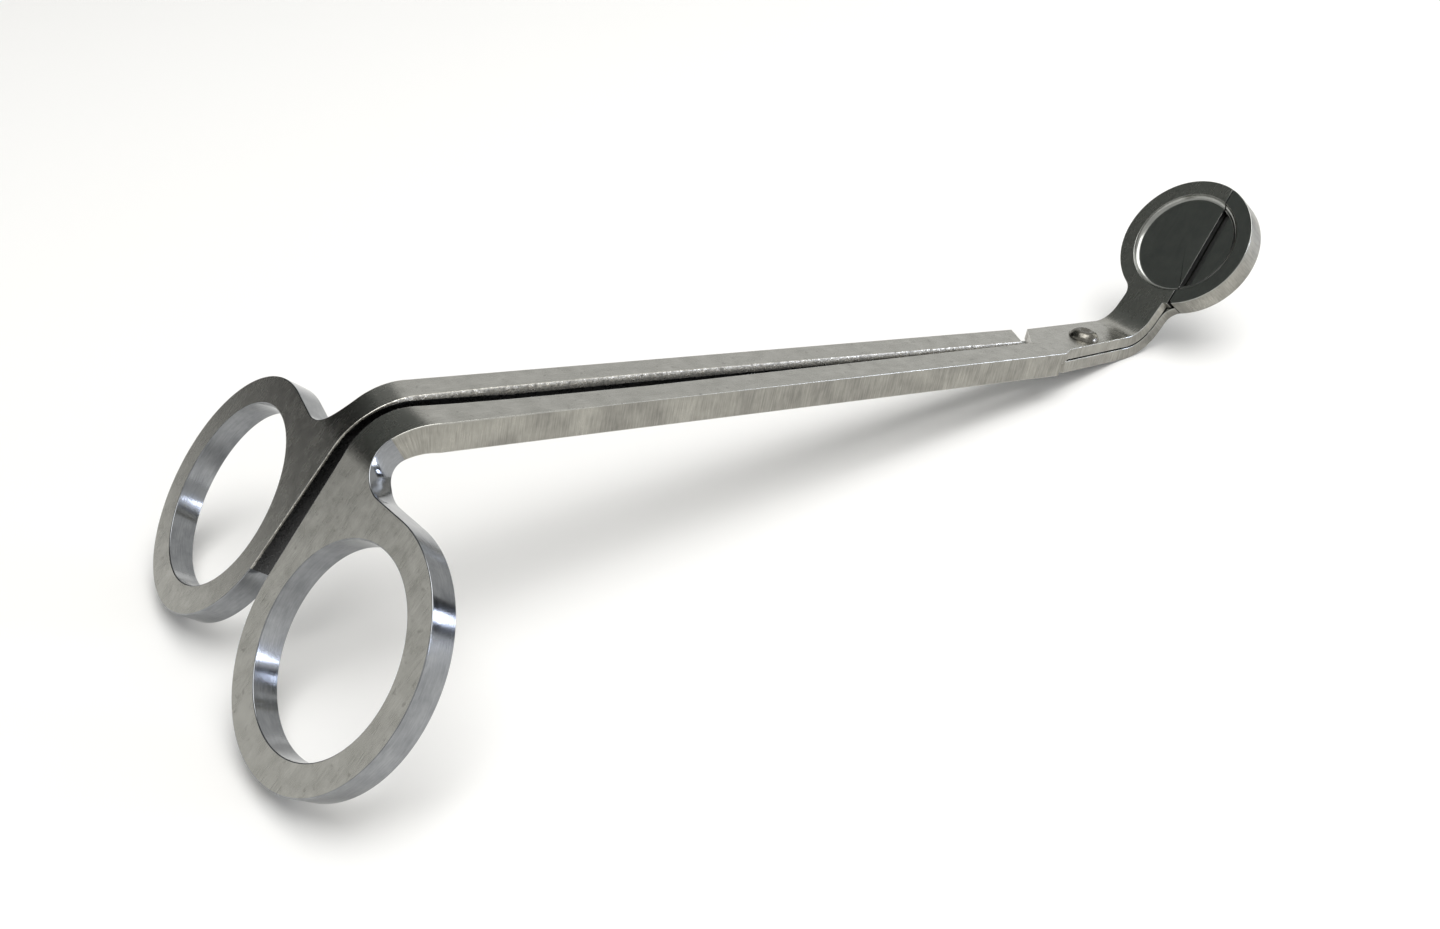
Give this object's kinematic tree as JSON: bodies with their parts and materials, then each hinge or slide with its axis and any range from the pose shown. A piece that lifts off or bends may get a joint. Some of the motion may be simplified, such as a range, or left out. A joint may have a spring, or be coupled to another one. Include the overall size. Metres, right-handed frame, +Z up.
{
  "type": "wick trimmer",
  "caption": "Scissor-like wick trimmer: long flat arms crossed on a rivet, canted finger rings at one end, a split shallow dish that cuts and catches the wick at the other.",
  "frame": {"origin": "on the table that the closed trimmer lies on, under the middle of its box", "axes": "+X runs from the finger rings to the dish, +Y to the far arm's ring, +Z is up"},
  "size_m": [0.188, 0.0718, 0.0318],
  "materials": {
    "arm_steel": "satin, finely ground",
    "rivet_steel": "satin, peened"
  },
  "bodies": {
    "far_arm_body": {"far_arm": "arm_steel", "pivot_rivet": "rivet_steel"},
    "near_arm_body": {"near_arm": "arm_steel"}
  },
  "joints": [
    {"name": "scissor_pivot", "type": "hinge", "parent": "far_arm_body", "child": "near_arm_body", "pos_m": [0.05832, 0, 0.0064], "axis": [0.206, 0, 0.9786], "range_deg": [0, 30]}
  ]
}
